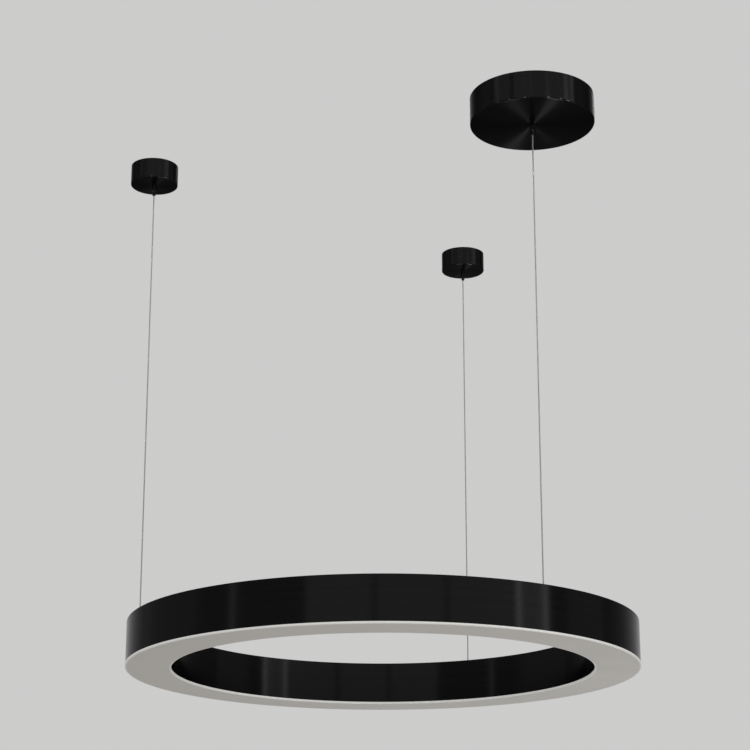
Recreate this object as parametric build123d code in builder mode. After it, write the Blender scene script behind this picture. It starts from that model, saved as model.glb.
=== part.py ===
from build123d import *
import os
from math import cos, radians, sin, tan

os.makedirs("parts", exist_ok=True)

# A ring light hung on three wires. Millimetres, +Z up. The origin is on the ceiling plane, on the ring's axis.
# Azimuths are counted anticlockwise from +X, seen from above.

# ------------------------------------------------------------------ driving dimensions: ring
ring_outer_radius = 400.0
ring_inner_radius = 330.0
housing_height = 67.0
housing_wall = 2.0
housing_top = 2.5
housing_edge_radius = 1.2
housing_mouth_radius = 0.4
hanging_drop = 765.0  # ceiling to the ring's top face

# Diffuser: a face plate with two upright legs that snap into grooves in the housing walls
diffuser_thickness = 3.2
diffuser_overhang = 0.6
diffuser_edge_radius = 1.1
leg_thickness = 1.8
leg_height = 10.0
leg_clearance = 0.3
bead_height = 6.0  # bead centre above the housing's mouth
bead_size = 0.5
groove_size = 0.7

# LED carrier and what it holds
carrier_depth = 34.5  # carrier's top face below the ring's top face
carrier_thickness = 1.5
carrier_gap = 1.0  # to each housing wall
board_count = 6
board_width = 34.0
board_thickness = 1.0
board_end_gap = 1.2  # degrees between two boards
chips_per_board = 20
chip_length = 5.0
chip_width = 5.0
chip_height = 1.4
chip_stagger = 6.0  # radial offset of the zigzag row, each way
connector_length = 12.0
connector_width = 7.0
connector_height = 4.0
connector_corner = 0.8
board_screw_inset = 3.4  # from the board's long edges
board_screw_angle = 26.0  # degrees either side of the board's middle
m3_radius = 1.5
m3_head_radius = 2.75
m3_head_height = 1.6
screw_head_taper = 12.0
screw_clearance = 0.15

# Brackets between the housing's top and the carrier
bracket_flange = 18.0
bracket_gauge = 1.5
bracket_span = 60.0  # along the radius
bracket_screw_inset = 4.0
rivet_radius = 1.6
rivet_head_radius = 3.0
rivet_head_height = 0.9
rivet_foot_radius = 2.4
rivet_dome_taper = 35.0
rivet_inset = 14.0

# Wires and their anchors in the ring
wire_count = 3
wire_circle_radius = 380.0
near_wire_azimuth = -53.5
wire_radius = 1.0
swing_limit = 8.0  # degrees, either way
swing_margin = 2.0
ball_radius = 2.5
ball_clearance = 0.1
ball_flat = 0.25  # taken off the ball where the wire meets it
wire_seat_gap = 0.05
ball_depth = 5.0  # ball centre below the ring's top face
anchor_flange_radius = 6.5
anchor_flange_height = 2.5
anchor_chamfer = 0.8
anchor_thread_radius = 4.0
anchor_shank_length = 15.0
anchor_hole_clearance = 0.15
washer_radius = 8.0
washer_thickness = 1.6
nut_across_flats = 13.0
nut_height = 6.0

# Canopies
small_canopy_radius = 38.5
small_canopy_height = 34.0
small_canopy_wall = 1.2
small_canopy_floor = 1.5
small_canopy_edge = 2.0
driver_canopy_radius = 95.0
driver_canopy_height = 45.0
driver_canopy_wall = 1.5
driver_canopy_floor = 2.0
driver_canopy_edge = 2.5
rim_gap = 0.4  # canopy rim below the ceiling
flush_gap = 0.2  # threaded ends stop this far below the ceiling
bracket_plate_thickness = 2.0
small_bracket_length = 62.0
small_bracket_width = 16.0
small_bracket_spacing = 44.0  # ceiling screw slots
slot_length = 9.0
slot_width = 4.6

# Standoff that carries each canopy, and the wire gripper below it
standoff_radius = 5.0
m6_radius = 3.0
thread_clearance = 0.05
canopy_hole_clearance = 0.15
gripper_thread = 3.0  # threaded end below the canopy
standoff_bore = 1.35
exit_slot_width = 4.0
exit_slot_height = 12.0
exit_slot_drop = 4.0  # below the plate
barrel_radius = 4.0
barrel_length = 12.0
barrel_chamfer = 0.6
plunger_travel = 1.6
spring_solid_length = 1.8
flange_height = 0.7
flange_clearance = 0.05
cone_length = 2.85
cone_top_radius = 2.72
cone_foot_radius = 2.42
plunger_radius = 2.3
plunger_bore = 1.2
plunger_flange_radius = 2.85
plunger_fit = 0.06
nose_length = 5.0
nose_rim_radius = 2.8
nose_rim_height = 1.4
nose_edge = 0.5
jaw_ball_radius = 0.7
jaw_ball_centre = 1.78  # from the wire's axis
jaw_ball_count = 3
jaw_ball_drop = 1.3  # below the plunger's flange seat
jaw_pocket_radius = 0.8
spring_wire = 0.4
spring_turns = 3.0
spring_end_gap = 0.05
wire_exit_gap = 0.6  # plunger's mouth to the point where the wire bends
wire_split_gap = 0.15  # each side of that point

# Ceiling plate of the driver canopy, the driver and the mains connection
plate_length = 150.0
plate_width = 104.0
plate_corner = 12.0
plate_hole_x = 132.0
plate_hole_y = 80.0
plate_hole_radius = 2.5
driver_length = 96.0
driver_width = 36.0
driver_height = 24.0
driver_edge = 2.0
driver_under_edge = 1.5
driver_tab_width = 18.0
driver_tab_thickness = 2.0
driver_offset = 28.0  # driver's middle from the wire's axis, along +Y
end_cover_length = 12.0
end_cover_thickness = 2.0
end_cover_inset = 2.0
end_cover_corner = 1.0
driver_tab = 8.0
block_length = 32.0
block_width = 18.0
block_height = 15.0
block_x = 14.0
block_y = -30.0
block_corner = 1.0
block_groove = 2.0
block_groove_depth = 9.0
block_screw_depth = 6.0
block_poles = 3
block_screw_radius = 2.0
grommet_x = -34.0
grommet_y = -28.0
grommet_radius = 9.0
grommet_bore = 5.0
grommet_lip = 2.5
grommet_step = 1.2  # lip beyond the neck that stands in the plate
earth_x = 58.0
earth_y = -8.0
m4_radius = 2.0
m4_across_flats = 7.0
m4_nut_height = 3.2
earth_length = 12.0
lead_radius = 0.8
lead_gap = 0.1  # a lead's end to the face that it meets
tail_drop = 12.0  # the wire's cut end below the ceiling
mains_lead_drop = 8.0  # the mains leads' centres below the ceiling
mains_straight = 7.0
mains_shifts = (9.0, 7.0)  # line and neutral move this far along +X to clear the standoff
output_lead_drop = 14.0
output_lead_starts = (-38.0, -34.0)
bend_share = 0.45  # of the shorter run, taken by each bend

# Terminal block on the ring's carrier, beside the near anchor, and the plug that feeds the boards
ring_block_length = 22.0
ring_block_width = 12.0
ring_block_height = 10.0
ring_block_along = 44.0  # from the near wire's axis, along the ring
ring_block_inward = 18.0  # from the near wire's axis, towards the ring's axis
lead_spacing = 2.6
supply_straight = 15.0
anchor_lead_offset = 0.95  # each lead from the wire's axis
feed_hole_radius = 4.0
feed_hole_margin = 7.5  # hole's middle inside the board's inner edge
feed_plug_margin = 2.5  # plug's middle outside that edge
feed_plug_width = 5.0
feed_plug_length = 7.0

# ------------------------------------------------------------------ derived places
ring_top = -hanging_drop
ring_mouth = ring_top - housing_height
middle_radius = (ring_outer_radius + ring_inner_radius) / 2
carrier_top = ring_top - carrier_depth
carrier_bottom = carrier_top - carrier_thickness
board_bottom = carrier_bottom - board_thickness
carrier_outer = ring_outer_radius - housing_wall - carrier_gap
carrier_inner = ring_inner_radius + housing_wall + carrier_gap
board_outer = middle_radius + board_width / 2
board_inner = middle_radius - board_width / 2
board_step = 360 / board_count
board_angles = [near_wire_azimuth + board_step * (k + 0.5) for k in range(board_count)]
bracket_inner = middle_radius - bracket_span / 2
bracket_screw_radii = [bracket_inner + bracket_screw_inset, bracket_inner + bracket_span - bracket_screw_inset]
rivet_radii = [middle_radius - rivet_inset, middle_radius + rivet_inset]
board_screw_radii = [board_inner + board_screw_inset, board_outer - board_screw_inset]
feed_hole_inward = wire_circle_radius - board_inner + feed_hole_margin
feed_plug_inward = wire_circle_radius - board_inner - feed_plug_margin
ball_z = ring_top - ball_depth
m3_hole = m3_radius + screw_clearance


def polar(radius, angle, z=0.0):
    """Point at a radius and azimuth from the ring's axis."""
    return (radius * cos(radians(angle)), radius * sin(radians(angle)), z)


def tangent_plane(radius, angle, z=0.0):
    """Plane that looks outwards along the radius: its x runs along the ring and its y runs up."""
    return Plane(polar(radius, angle, z), x_dir=polar(1, angle + 90), z_dir=polar(1, angle))


class Hanger:
    """One wire's place: its axis, its canopy and the levels down its gripper."""

    def __init__(self, name, index, canopy_height, canopy_floor):
        self.name = name
        self.azimuth = near_wire_azimuth + index * 360 / wire_count
        self.x, self.y, _ = polar(wire_circle_radius, self.azimuth)
        self.axis = Axis((self.x, self.y, 0), (0, 0, 1))
        self.section = Plane((self.x, self.y, 0), x_dir=(1, 0, 0), z_dir=(0, -1, 0))
        self.canopy_bottom = -canopy_height
        self.canopy_floor_top = -canopy_height + canopy_floor
        self.thread_end = self.canopy_bottom - gripper_thread
        self.flange_top = self.thread_end - spring_solid_length - plunger_travel
        self.flange_seat = self.flange_top - flange_height
        self.cone_top = self.flange_seat - flange_clearance
        self.cone_foot = self.cone_top - cone_length
        self.barrel_end = self.canopy_bottom - barrel_length
        self.nose_end = self.barrel_end - nose_length
        self.jaw_z = self.flange_seat - jaw_ball_drop

    def level(self, z):
        """Horizontal plane at height z with its origin on the wire's axis."""
        return Plane((self.x, self.y, z))

    def point(self, x, y, z):
        """Point x and y away from the wire's axis, at height z."""
        return (self.x + x, self.y + y, z)

    def ring_point(self, along, inward, z):
        """Point at a distance along the ring and inwards from the wire's axis, at height z."""
        foot = polar(wire_circle_radius - inward, self.azimuth)
        side = polar(along, self.azimuth + 90)
        return (foot[0] + side[0], foot[1] + side[1], z)


near = Hanger("near", 0, driver_canopy_height, driver_canopy_floor)
far = Hanger("far", 1, small_canopy_height, small_canopy_floor)
left = Hanger("left", 2, small_canopy_height, small_canopy_floor)
hangers = [near, far, left]

# The wires flex at one height, just under the lowest gripper, so that the ring stays level as it swings.
bend_z = min(hanger.nose_end for hanger in hangers) - wire_exit_gap


# ------------------------------------------------------------------ ring housing
# One black-lacquered aluminium channel, open downwards, rolled into a ring. A groove in each wall takes the
# diffuser's beads. The top has a hole at each anchor and two rivet holes at each bracket.
outer_face = ring_outer_radius - housing_wall
inner_face = ring_inner_radius + housing_wall
groove_z = ring_mouth + bead_height
with BuildPart() as ring_housing:
    with BuildSketch(Plane.XZ):
        with BuildLine():
            Polyline(
                (ring_outer_radius, ring_mouth),
                (ring_outer_radius, ring_top),
                (ring_inner_radius, ring_top),
                (ring_inner_radius, ring_mouth),
                (inner_face, ring_mouth),
                (inner_face, groove_z - groove_size),
                (inner_face - groove_size, groove_z),
                (inner_face, groove_z + groove_size),
                (inner_face, ring_top - housing_top),
                (outer_face, ring_top - housing_top),
                (outer_face, groove_z + groove_size),
                (outer_face + groove_size, groove_z),
                (outer_face, groove_z - groove_size),
                (outer_face, ring_mouth),
                close=True,
            )
        make_face()
    revolve(axis=Axis.Z)
    top_edges = ring_housing.edges().filter_by(GeomType.CIRCLE).group_by(Axis.Z)[-1]
    fillet(top_edges, radius=housing_edge_radius)
    mouth_edges = ring_housing.edges().filter_by(GeomType.CIRCLE).group_by(Axis.Z)[0].sort_by(SortBy.RADIUS)
    fillet([mouth_edges[0], mouth_edges[-1]], radius=housing_mouth_radius)
    with BuildSketch(Plane.XY.offset(ring_top)):
        for hanger in hangers:
            with Locations((hanger.x, hanger.y)):
                Circle(anchor_thread_radius + anchor_hole_clearance)
        for angle in board_angles:
            with Locations(*[polar(radius, angle) for radius in rivet_radii]):
                Circle(rivet_radius + thread_clearance)
    extrude(amount=-housing_top, mode=Mode.SUBTRACT)
ring_housing.part.label = "ring_housing"
export_step(ring_housing.part, "parts/ring_housing.step")

# ------------------------------------------------------------------ diffuser
# Opal acrylic tray under the whole ring, extruded and rolled like the housing.
face_outer = ring_outer_radius + diffuser_overhang
face_inner = ring_inner_radius - diffuser_overhang
leg_outer = outer_face - leg_clearance
leg_inner = inner_face + leg_clearance
leg_top = ring_mouth + leg_height
face_bottom = ring_mouth - diffuser_thickness
with BuildPart() as diffuser:
    with BuildSketch(Plane.XZ):
        with BuildLine():
            Polyline(
                (face_inner, face_bottom),
                (face_outer, face_bottom),
                (face_outer, ring_mouth),
                (leg_outer, ring_mouth),
                (leg_outer, groove_z - bead_size),
                (leg_outer + bead_size, groove_z),
                (leg_outer, groove_z + bead_size),
                (leg_outer, leg_top),
                (leg_outer - leg_thickness, leg_top),
                (leg_outer - leg_thickness, ring_mouth),
                (leg_inner + leg_thickness, ring_mouth),
                (leg_inner + leg_thickness, leg_top),
                (leg_inner, leg_top),
                (leg_inner, groove_z + bead_size),
                (leg_inner - bead_size, groove_z),
                (leg_inner, groove_z - bead_size),
                (leg_inner, ring_mouth),
                (face_inner, ring_mouth),
                close=True,
            )
        make_face()
    revolve(axis=Axis.Z)
    fillet(diffuser.edges().filter_by(GeomType.CIRCLE).group_by(Axis.Z)[0], radius=diffuser_edge_radius)
diffuser.part.label = "diffuser"
export_step(diffuser.part, "parts/diffuser.step")

# ------------------------------------------------------------------ LED carrier
# Flat aluminium annulus on six brackets. It is the boards' heat spreader.
carrier_holes = [polar(radius, angle) for angle in board_angles for radius in bracket_screw_radii]
board_screw_points = []
for angle in board_angles:
    for turn in (-board_screw_angle, board_screw_angle):
        board_screw_points += [polar(radius, angle + turn) for radius in board_screw_radii]
feed_hole = near.ring_point(ring_block_along, feed_hole_inward, carrier_top)
with BuildPart() as led_carrier:
    with BuildSketch(Plane.XY.offset(carrier_top)):
        Circle(carrier_outer)
        Circle(carrier_inner, mode=Mode.SUBTRACT)
        with Locations(*carrier_holes, *board_screw_points):
            Circle(m3_hole, mode=Mode.SUBTRACT)
        with Locations((feed_hole[0], feed_hole[1])):
            Circle(feed_hole_radius, mode=Mode.SUBTRACT)
    extrude(amount=-carrier_thickness)
led_carrier.part.label = "led_carrier"
export_step(led_carrier.part, "parts/led_carrier.step")

# Brackets: six C-shaped pressings from the housing's top down to the carrier, open sideways.
bracket_top = ring_top - housing_top
with BuildPart() as carrier_brackets:
    for angle in board_angles:
        with BuildSketch(tangent_plane(bracket_inner, angle)):
            with BuildLine():
                Polyline(
                    (-bracket_flange / 2, bracket_top),
                    (bracket_flange / 2, bracket_top),
                    (bracket_flange / 2, bracket_top - bracket_gauge),
                    (-bracket_flange / 2 + bracket_gauge, bracket_top - bracket_gauge),
                    (-bracket_flange / 2 + bracket_gauge, carrier_top + bracket_gauge),
                    (bracket_flange / 2, carrier_top + bracket_gauge),
                    (bracket_flange / 2, carrier_top),
                    (-bracket_flange / 2, carrier_top),
                    close=True,
                )
            make_face()
        extrude(amount=bracket_span)
    with BuildSketch(Plane.XY.offset(carrier_top)):
        with Locations(*carrier_holes):
            Circle(m3_hole)
    extrude(amount=bracket_gauge, mode=Mode.SUBTRACT)
    with BuildSketch(Plane.XY.offset(bracket_top)):
        for angle in board_angles:
            with Locations(*[polar(radius, angle) for radius in rivet_radii]):
                Circle(rivet_radius + thread_clearance)
    extrude(amount=-bracket_gauge, mode=Mode.SUBTRACT)
carrier_brackets.part.label = "carrier_brackets"
export_step(carrier_brackets.part, "parts/carrier_brackets.step")

# Rivets: a low dome above the ring's top, and a formed head under each bracket's flange.
with BuildPart() as bracket_rivets:
    for angle in board_angles:
        for radius in rivet_radii:
            with BuildSketch(Plane(polar(radius, angle, ring_top))):
                Circle(rivet_head_radius)
            extrude(amount=rivet_head_height, taper=rivet_dome_taper)
            with BuildSketch(Plane(polar(radius, angle, ring_top))):
                Circle(rivet_radius)
            extrude(amount=-(housing_top + bracket_gauge))
            with BuildSketch(Plane(polar(radius, angle, bracket_top - bracket_gauge))):
                Circle(rivet_foot_radius)
            extrude(amount=-rivet_head_height)
bracket_rivets.part.label = "bracket_rivets"
export_step(bracket_rivets.part, "parts/bracket_rivets.step")

# Carrier screws: two per bracket, driven up from below into the bracket's lower flange.
with BuildPart() as carrier_screws:
    for point in carrier_holes:
        with BuildSketch(Plane((point[0], point[1], carrier_bottom))):
            Circle(m3_head_radius)
        extrude(amount=-m3_head_height, taper=screw_head_taper)
        with BuildSketch(Plane((point[0], point[1], carrier_bottom))):
            Circle(m3_radius)
        extrude(amount=carrier_thickness + bracket_gauge + m3_radius)
carrier_screws.part.label = "carrier_screws"
export_step(carrier_screws.part, "parts/carrier_screws.step")

# ------------------------------------------------------------------ LED boards and what is soldered to them
board_sweep = board_step - board_end_gap
for number, angle in enumerate(board_angles, start=1):
    with BuildPart() as led_board:
        with BuildSketch(Plane.XY.offset(carrier_bottom)) as board_outline:
            with BuildLine():
                outer_arc = CenterArc((0, 0), board_outer, angle - board_sweep / 2, board_sweep)
                inner_arc = CenterArc((0, 0), board_inner, angle - board_sweep / 2, board_sweep)
                Line(outer_arc @ 0, inner_arc @ 0)
                Line(outer_arc @ 1, inner_arc @ 1)
            make_face()
            for turn in (-board_screw_angle, board_screw_angle):
                with Locations(*[polar(radius, angle + turn) for radius in board_screw_radii]):
                    Circle(m3_hole, mode=Mode.SUBTRACT)
        extrude(amount=-board_thickness)
    led_board.part.label = f"led_board_{number}"
    export_step(led_board.part, f"parts/led_board_{number}.step")

# LED chips: a zigzag row under each board.
chip_step = board_sweep / chips_per_board
with BuildPart() as led_chips:
    for angle in board_angles:
        for place in range(chips_per_board):
            chip_angle = angle + (place - (chips_per_board - 1) / 2) * chip_step
            radius = middle_radius + (chip_stagger if place % 2 else -chip_stagger)
            seat = Plane(polar(radius, chip_angle, board_bottom), x_dir=polar(1, chip_angle), z_dir=(0, 0, -1))
            with BuildSketch(seat):
                Rectangle(chip_width, chip_length)
            extrude(amount=chip_height)
led_chips.part.label = "led_chips"
export_step(led_chips.part, "parts/led_chips.step")

# Board screws: short pan heads through the boards into the carrier.
with BuildPart() as board_screws:
    for point in board_screw_points:
        with BuildSketch(Plane((point[0], point[1], board_bottom))):
            Circle(m3_head_radius)
        extrude(amount=-m3_head_height, taper=screw_head_taper)
        with BuildSketch(Plane((point[0], point[1], board_bottom))):
            Circle(m3_radius)
        extrude(amount=board_thickness + carrier_thickness + m3_radius)
board_screws.part.label = "board_screws"
export_step(board_screws.part, "parts/board_screws.step")

# Board connectors: a two-pole plug bridges each joint between two boards, and one on the first board takes the
# supply.
along_ring = polar(1, near_wire_azimuth + 90)
with BuildPart() as board_connectors:
    for angle in board_angles:
        joint_angle = angle - board_step / 2
        seat = Plane(polar(middle_radius, joint_angle, board_bottom), x_dir=polar(1, joint_angle), z_dir=(0, 0, -1))
        with BuildSketch(seat):
            RectangleRounded(connector_width, connector_length, connector_corner)
        extrude(amount=connector_height)
    feed_seat = near.ring_point(ring_block_along, feed_plug_inward, board_bottom)
    with BuildSketch(Plane(feed_seat, x_dir=along_ring, z_dir=(0, 0, -1))):
        RectangleRounded(feed_plug_length, feed_plug_width, connector_corner)
    extrude(amount=connector_height)
board_connectors.part.label = "board_connectors"
export_step(board_connectors.part, "parts/board_connectors.step")

# ------------------------------------------------------------------ wire anchors in the ring
# A low flanged bush stands in the ring's top. The wire's ball end sits in it from below, under a funnel wide
# enough for the wire to swing. A washer and a nut hold the bush from inside.
funnel_length = ball_depth + anchor_flange_height
funnel_radius = wire_radius + ball_clearance + funnel_length * tan(radians(swing_limit + swing_margin))
funnel_throat = wire_radius + ball_clearance
anchor_end = ring_top - anchor_shank_length
for hanger in hangers:
    with BuildPart() as wire_anchor:
        with BuildSketch(hanger.level(ring_top)):
            Circle(anchor_flange_radius)
        extrude(amount=anchor_flange_height)
        chamfer(wire_anchor.edges().group_by(Axis.Z)[-1], length=anchor_chamfer)
        with BuildSketch(hanger.level(ring_top)):
            Circle(anchor_thread_radius - thread_clearance)
        extrude(amount=-anchor_shank_length)
        with BuildSketch(hanger.section):
            with BuildLine():
                Polyline(
                    (0, ball_z),
                    (funnel_throat, ball_z),
                    (funnel_radius, ring_top + anchor_flange_height),
                    (0, ring_top + anchor_flange_height),
                    close=True,
                )
            make_face()
        revolve(axis=hanger.axis, mode=Mode.SUBTRACT)
        with BuildSketch(hanger.level(ball_z)):
            Circle(ball_radius + ball_clearance)
        extrude(until=Until.LAST, dir=(0, 0, -1), mode=Mode.SUBTRACT)
        with Locations((hanger.x, hanger.y, ball_z)):
            Sphere(ball_radius + ball_clearance, mode=Mode.SUBTRACT)
    wire_anchor.part.label = f"wire_anchor_{hanger.name}"
    export_step(wire_anchor.part, f"parts/wire_anchor_{hanger.name}.step")

washer_top = ring_top - housing_top
nut_top = washer_top - washer_thickness
with BuildPart() as anchor_washers:
    for hanger in hangers:
        with BuildSketch(hanger.level(washer_top)):
            Circle(washer_radius)
            Circle(anchor_thread_radius + anchor_hole_clearance, mode=Mode.SUBTRACT)
        extrude(amount=-washer_thickness)
anchor_washers.part.label = "anchor_washers"
export_step(anchor_washers.part, "parts/anchor_washers.step")

with BuildPart() as anchor_nuts:
    for hanger in hangers:
        with BuildSketch(hanger.level(nut_top)):
            RegularPolygon(nut_across_flats / 2, 6, major_radius=False)
            Circle(anchor_thread_radius, mode=Mode.SUBTRACT)
        extrude(amount=-nut_height)
anchor_nuts.part.label = "anchor_nuts"
export_step(anchor_nuts.part, "parts/anchor_nuts.step")

# Ball ends: steel balls swaged on the wires.
for hanger in hangers:
    with BuildPart() as wire_ball:
        with Locations((hanger.x, hanger.y, ball_z)):
            Sphere(ball_radius)
        with BuildSketch(hanger.level(ball_z + ball_radius - ball_flat)):
            Circle(ball_radius)
        extrude(amount=ball_radius, mode=Mode.SUBTRACT)
    wire_ball.part.label = f"wire_ball_{hanger.name}"
    export_step(wire_ball.part, f"parts/wire_ball_{hanger.name}.step")

# ------------------------------------------------------------------ suspension wires
# Each wire hangs straight from the height where the wires flex to its ball. Its upper end, which the gripper
# holds, is a separate length above that height.
wire_foot = ball_z + ball_radius - ball_flat + wire_seat_gap
wire_head = bend_z - wire_split_gap
tail_foot = bend_z + wire_split_gap
for hanger in hangers:
    with BuildPart() as wire:
        with BuildSketch(hanger.level(wire_foot)):
            Circle(wire_radius)
        extrude(amount=wire_head - wire_foot)
    wire.part.label = f"wire_{hanger.name}"
    export_step(wire.part, f"parts/wire_{hanger.name}.step")

with BuildPart() as wire_tails:
    for hanger in hangers:
        with BuildSketch(hanger.level(tail_foot)):
            Circle(wire_radius)
        extrude(amount=-tail_drop - tail_foot)
wire_tails.part.label = "wire_tails"
export_step(wire_tails.part, "parts/wire_tails.step")

# ------------------------------------------------------------------ canopies
# Spun caps, black-lacquered. The threaded foot of the standoff passes through the hole in the middle.
canopy_sizes = {
    "driver_canopy": (near, driver_canopy_radius, driver_canopy_wall, driver_canopy_floor, driver_canopy_edge),
    "canopy_far": (far, small_canopy_radius, small_canopy_wall, small_canopy_floor, small_canopy_edge),
    "canopy_left": (left, small_canopy_radius, small_canopy_wall, small_canopy_floor, small_canopy_edge),
}
canopy_hole = m6_radius + canopy_hole_clearance
for label, (hanger, radius, wall, floor, edge) in canopy_sizes.items():
    with BuildPart() as canopy:
        with BuildSketch(hanger.section):
            with BuildLine():
                Polyline(
                    (canopy_hole, hanger.canopy_bottom),
                    (radius, hanger.canopy_bottom),
                    (radius, -rim_gap),
                    (radius - wall, -rim_gap),
                    (radius - wall, hanger.canopy_bottom + floor),
                    (canopy_hole, hanger.canopy_bottom + floor),
                    close=True,
                )
            make_face()
        revolve(axis=hanger.axis)
        rim_edges = canopy.edges().filter_by(GeomType.CIRCLE).group_by(Axis.Z)[0].sort_by(SortBy.RADIUS)
        fillet(rim_edges[-1], radius=edge)
    canopy.part.label = label
    export_step(canopy.part, f"parts/{label}.step")

# Straps that carry the two small canopies: two slots for ceiling screws and a hole for the standoff.
for hanger in (far, left):
    with BuildPart() as ceiling_bracket:
        with BuildSketch(hanger.level(0)):
            SlotOverall(small_bracket_length, small_bracket_width)
            Circle(m6_radius, mode=Mode.SUBTRACT)
            with GridLocations(small_bracket_spacing, 0, 2, 1):
                SlotOverall(slot_length, slot_width, mode=Mode.SUBTRACT)
        extrude(amount=-bracket_plate_thickness)
    ceiling_bracket.part.label = f"ceiling_bracket_{hanger.name}"
    export_step(ceiling_bracket.part, f"parts/ceiling_bracket_{hanger.name}.step")

# Plate of the driver canopy: four ceiling screw holes, the standoff, the mains entry, the earth screw and the
# driver's two screws.
driver_tab_x = driver_length / 2 + driver_tab / 2
with BuildPart() as ceiling_plate:
    with BuildSketch(near.level(0)):
        RectangleRounded(plate_length, plate_width, plate_corner)
        Circle(m6_radius, mode=Mode.SUBTRACT)
        with GridLocations(plate_hole_x, plate_hole_y, 2, 2):
            Circle(plate_hole_radius, mode=Mode.SUBTRACT)
        with Locations((grommet_x, grommet_y)):
            Circle(grommet_radius - grommet_step + screw_clearance, mode=Mode.SUBTRACT)
        with Locations((earth_x, earth_y)):
            Circle(m4_radius + screw_clearance, mode=Mode.SUBTRACT)
        with Locations((-driver_tab_x, driver_offset), (driver_tab_x, driver_offset)):
            Circle(m3_hole, mode=Mode.SUBTRACT)
    extrude(amount=-bracket_plate_thickness)
ceiling_plate.part.label = "ceiling_plate"
export_step(ceiling_plate.part, "parts/ceiling_plate.step")

# ------------------------------------------------------------------ standoffs and grippers
plate_bottom = -bracket_plate_thickness
slot_top = plate_bottom - exit_slot_drop
for hanger in hangers:
    # Standoff: turned steel, M6 at both ends, bored for the wire, with a window where the spare wire leaves.
    with BuildPart() as standoff:
        with BuildSketch(hanger.level(hanger.canopy_floor_top)):
            Circle(standoff_radius)
        extrude(amount=plate_bottom - hanger.canopy_floor_top)
        with BuildSketch(hanger.level(plate_bottom)):
            Circle(m6_radius - thread_clearance)
        extrude(amount=bracket_plate_thickness - flush_gap)
        with BuildSketch(hanger.level(hanger.canopy_floor_top)):
            Circle(m6_radius - thread_clearance)
        extrude(amount=hanger.thread_end - hanger.canopy_floor_top)
        with BuildSketch(hanger.level(hanger.thread_end)):
            Circle(standoff_bore)
        extrude(amount=-hanger.thread_end, mode=Mode.SUBTRACT)
        with BuildSketch(hanger.level(slot_top - exit_slot_height)):
            with Locations((-standoff_radius / 2, 0)):
                Rectangle(standoff_radius, exit_slot_width)
        extrude(amount=exit_slot_height, mode=Mode.SUBTRACT)
    standoff.part.label = f"standoff_{hanger.name}"
    export_step(standoff.part, f"parts/standoff_{hanger.name}.step")

    # Barrel: screwed on the standoff's foot, it clamps the canopy. Its cone narrows downwards on the jaw balls.
    with BuildPart() as gripper_barrel:
        with BuildSketch(hanger.section):
            with BuildLine():
                Polyline(
                    (m6_radius, hanger.canopy_bottom),
                    (barrel_radius, hanger.canopy_bottom),
                    (barrel_radius, hanger.barrel_end + barrel_chamfer),
                    (barrel_radius - barrel_chamfer, hanger.barrel_end),
                    (plunger_radius + plunger_fit, hanger.barrel_end),
                    (plunger_radius + plunger_fit, hanger.cone_foot),
                    (cone_foot_radius, hanger.cone_foot),
                    (cone_top_radius, hanger.cone_top),
                    (m6_radius, hanger.cone_top),
                    close=True,
                )
            make_face()
        revolve(axis=hanger.axis)
    gripper_barrel.part.label = f"gripper_barrel_{hanger.name}"
    export_step(gripper_barrel.part, f"parts/gripper_barrel_{hanger.name}.step")

    # Release plunger: a tube round the wire. Its flange rests on the barrel's step, and its nose is pushed up.
    with BuildPart() as release_plunger:
        with BuildSketch(hanger.section):
            with BuildLine():
                Polyline(
                    (plunger_bore, hanger.nose_end),
                    (nose_rim_radius, hanger.nose_end),
                    (nose_rim_radius, hanger.nose_end + nose_rim_height),
                    (plunger_radius, hanger.nose_end + nose_rim_height),
                    (plunger_radius, hanger.flange_seat),
                    (plunger_flange_radius, hanger.flange_seat),
                    (plunger_flange_radius, hanger.flange_top),
                    (plunger_bore, hanger.flange_top),
                    close=True,
                )
            make_face()
        revolve(axis=hanger.axis)
        foot_edges = release_plunger.edges().filter_by(GeomType.CIRCLE).group_by(Axis.Z)[0].sort_by(SortBy.RADIUS)
        fillet(foot_edges[-1], radius=nose_edge)
        for step in range(jaw_ball_count):
            turn = 360 / jaw_ball_count * step
            pocket_plane = Plane((hanger.x, hanger.y, hanger.jaw_z), x_dir=(0, 0, 1), z_dir=polar(1, turn))
            with BuildSketch(pocket_plane):
                Circle(jaw_pocket_radius)
            extrude(amount=plunger_flange_radius, mode=Mode.SUBTRACT)
    release_plunger.part.label = f"release_plunger_{hanger.name}"
    export_step(release_plunger.part, f"parts/release_plunger_{hanger.name}.step")

    # Jaw balls: three hardened balls in the plunger's pockets, between the cone and the wire.
    with BuildPart() as jaw_balls:
        for step in range(jaw_ball_count):
            offset = polar(jaw_ball_centre, 360 / jaw_ball_count * step)
            with Locations((hanger.x + offset[0], hanger.y + offset[1], hanger.jaw_z)):
                Sphere(jaw_ball_radius)
    jaw_balls.part.label = f"jaw_balls_{hanger.name}"
    export_step(jaw_balls.part, f"parts/jaw_balls_{hanger.name}.step")

    # Spring: presses the plunger down on its step.
    spring_foot = hanger.flange_top + spring_end_gap + spring_wire / 2
    spring_head = hanger.thread_end - spring_end_gap - spring_wire / 2
    spring_radius = plunger_flange_radius - spring_wire / 2 - spring_end_gap
    with BuildPart() as plunger_spring:
        with BuildLine():
            coil = Helix(
                pitch=(spring_head - spring_foot) / spring_turns,
                height=spring_head - spring_foot,
                radius=spring_radius,
                center=(hanger.x, hanger.y, spring_foot),
            )
        with BuildSketch(Plane(coil @ 0, z_dir=coil % 0)):
            Circle(spring_wire / 2)
        sweep(path=coil, is_frenet=True)
    plunger_spring.part.label = f"plunger_spring_{hanger.name}"
    export_step(plunger_spring.part, f"parts/plunger_spring_{hanger.name}.step")

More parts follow.
